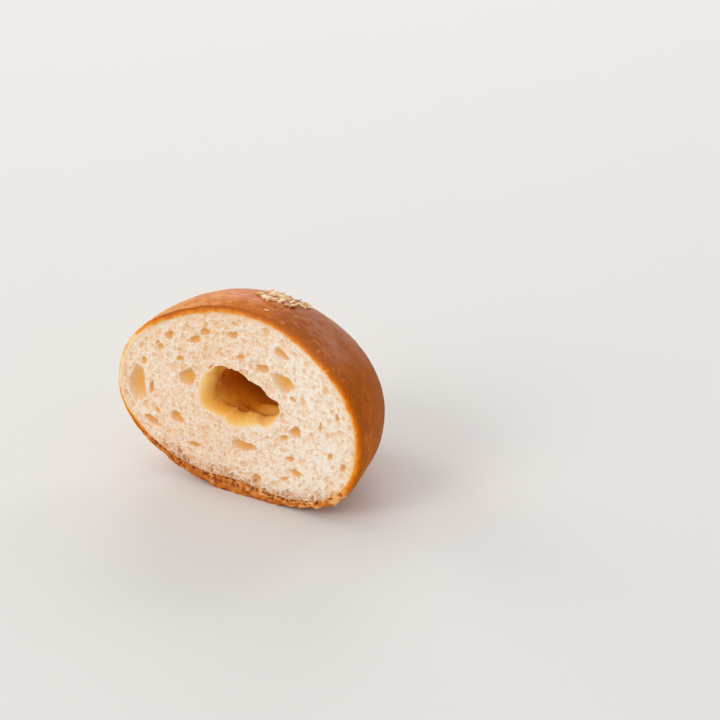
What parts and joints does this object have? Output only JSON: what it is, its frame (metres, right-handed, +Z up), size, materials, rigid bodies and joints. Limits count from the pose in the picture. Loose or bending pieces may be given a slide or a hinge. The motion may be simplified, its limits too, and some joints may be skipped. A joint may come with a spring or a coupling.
{
  "type": "salt bread roll half",
  "caption": "Half of a salt bread roll cut crosswise: thin brown crust, open cream crumb, a butter hollow in the cut face, fried underside and coarse salt on top.",
  "frame": {"origin": "on the resting surface, under the middle of the half's width and length", "axes": "+Z up, the cut face looks along -Y, the closed tip points along +Y, +X runs across the cut face to the right when the face is looked at"},
  "size_m": [0.0749, 0.046, 0.0528],
  "materials": {
    "crust": "satin",
    "under_crust": "matte",
    "crumb": "matte",
    "salt": "satin"
  },
  "bodies": {
    "root": {"roll_half": "crust"}
  },
  "joints": []
}
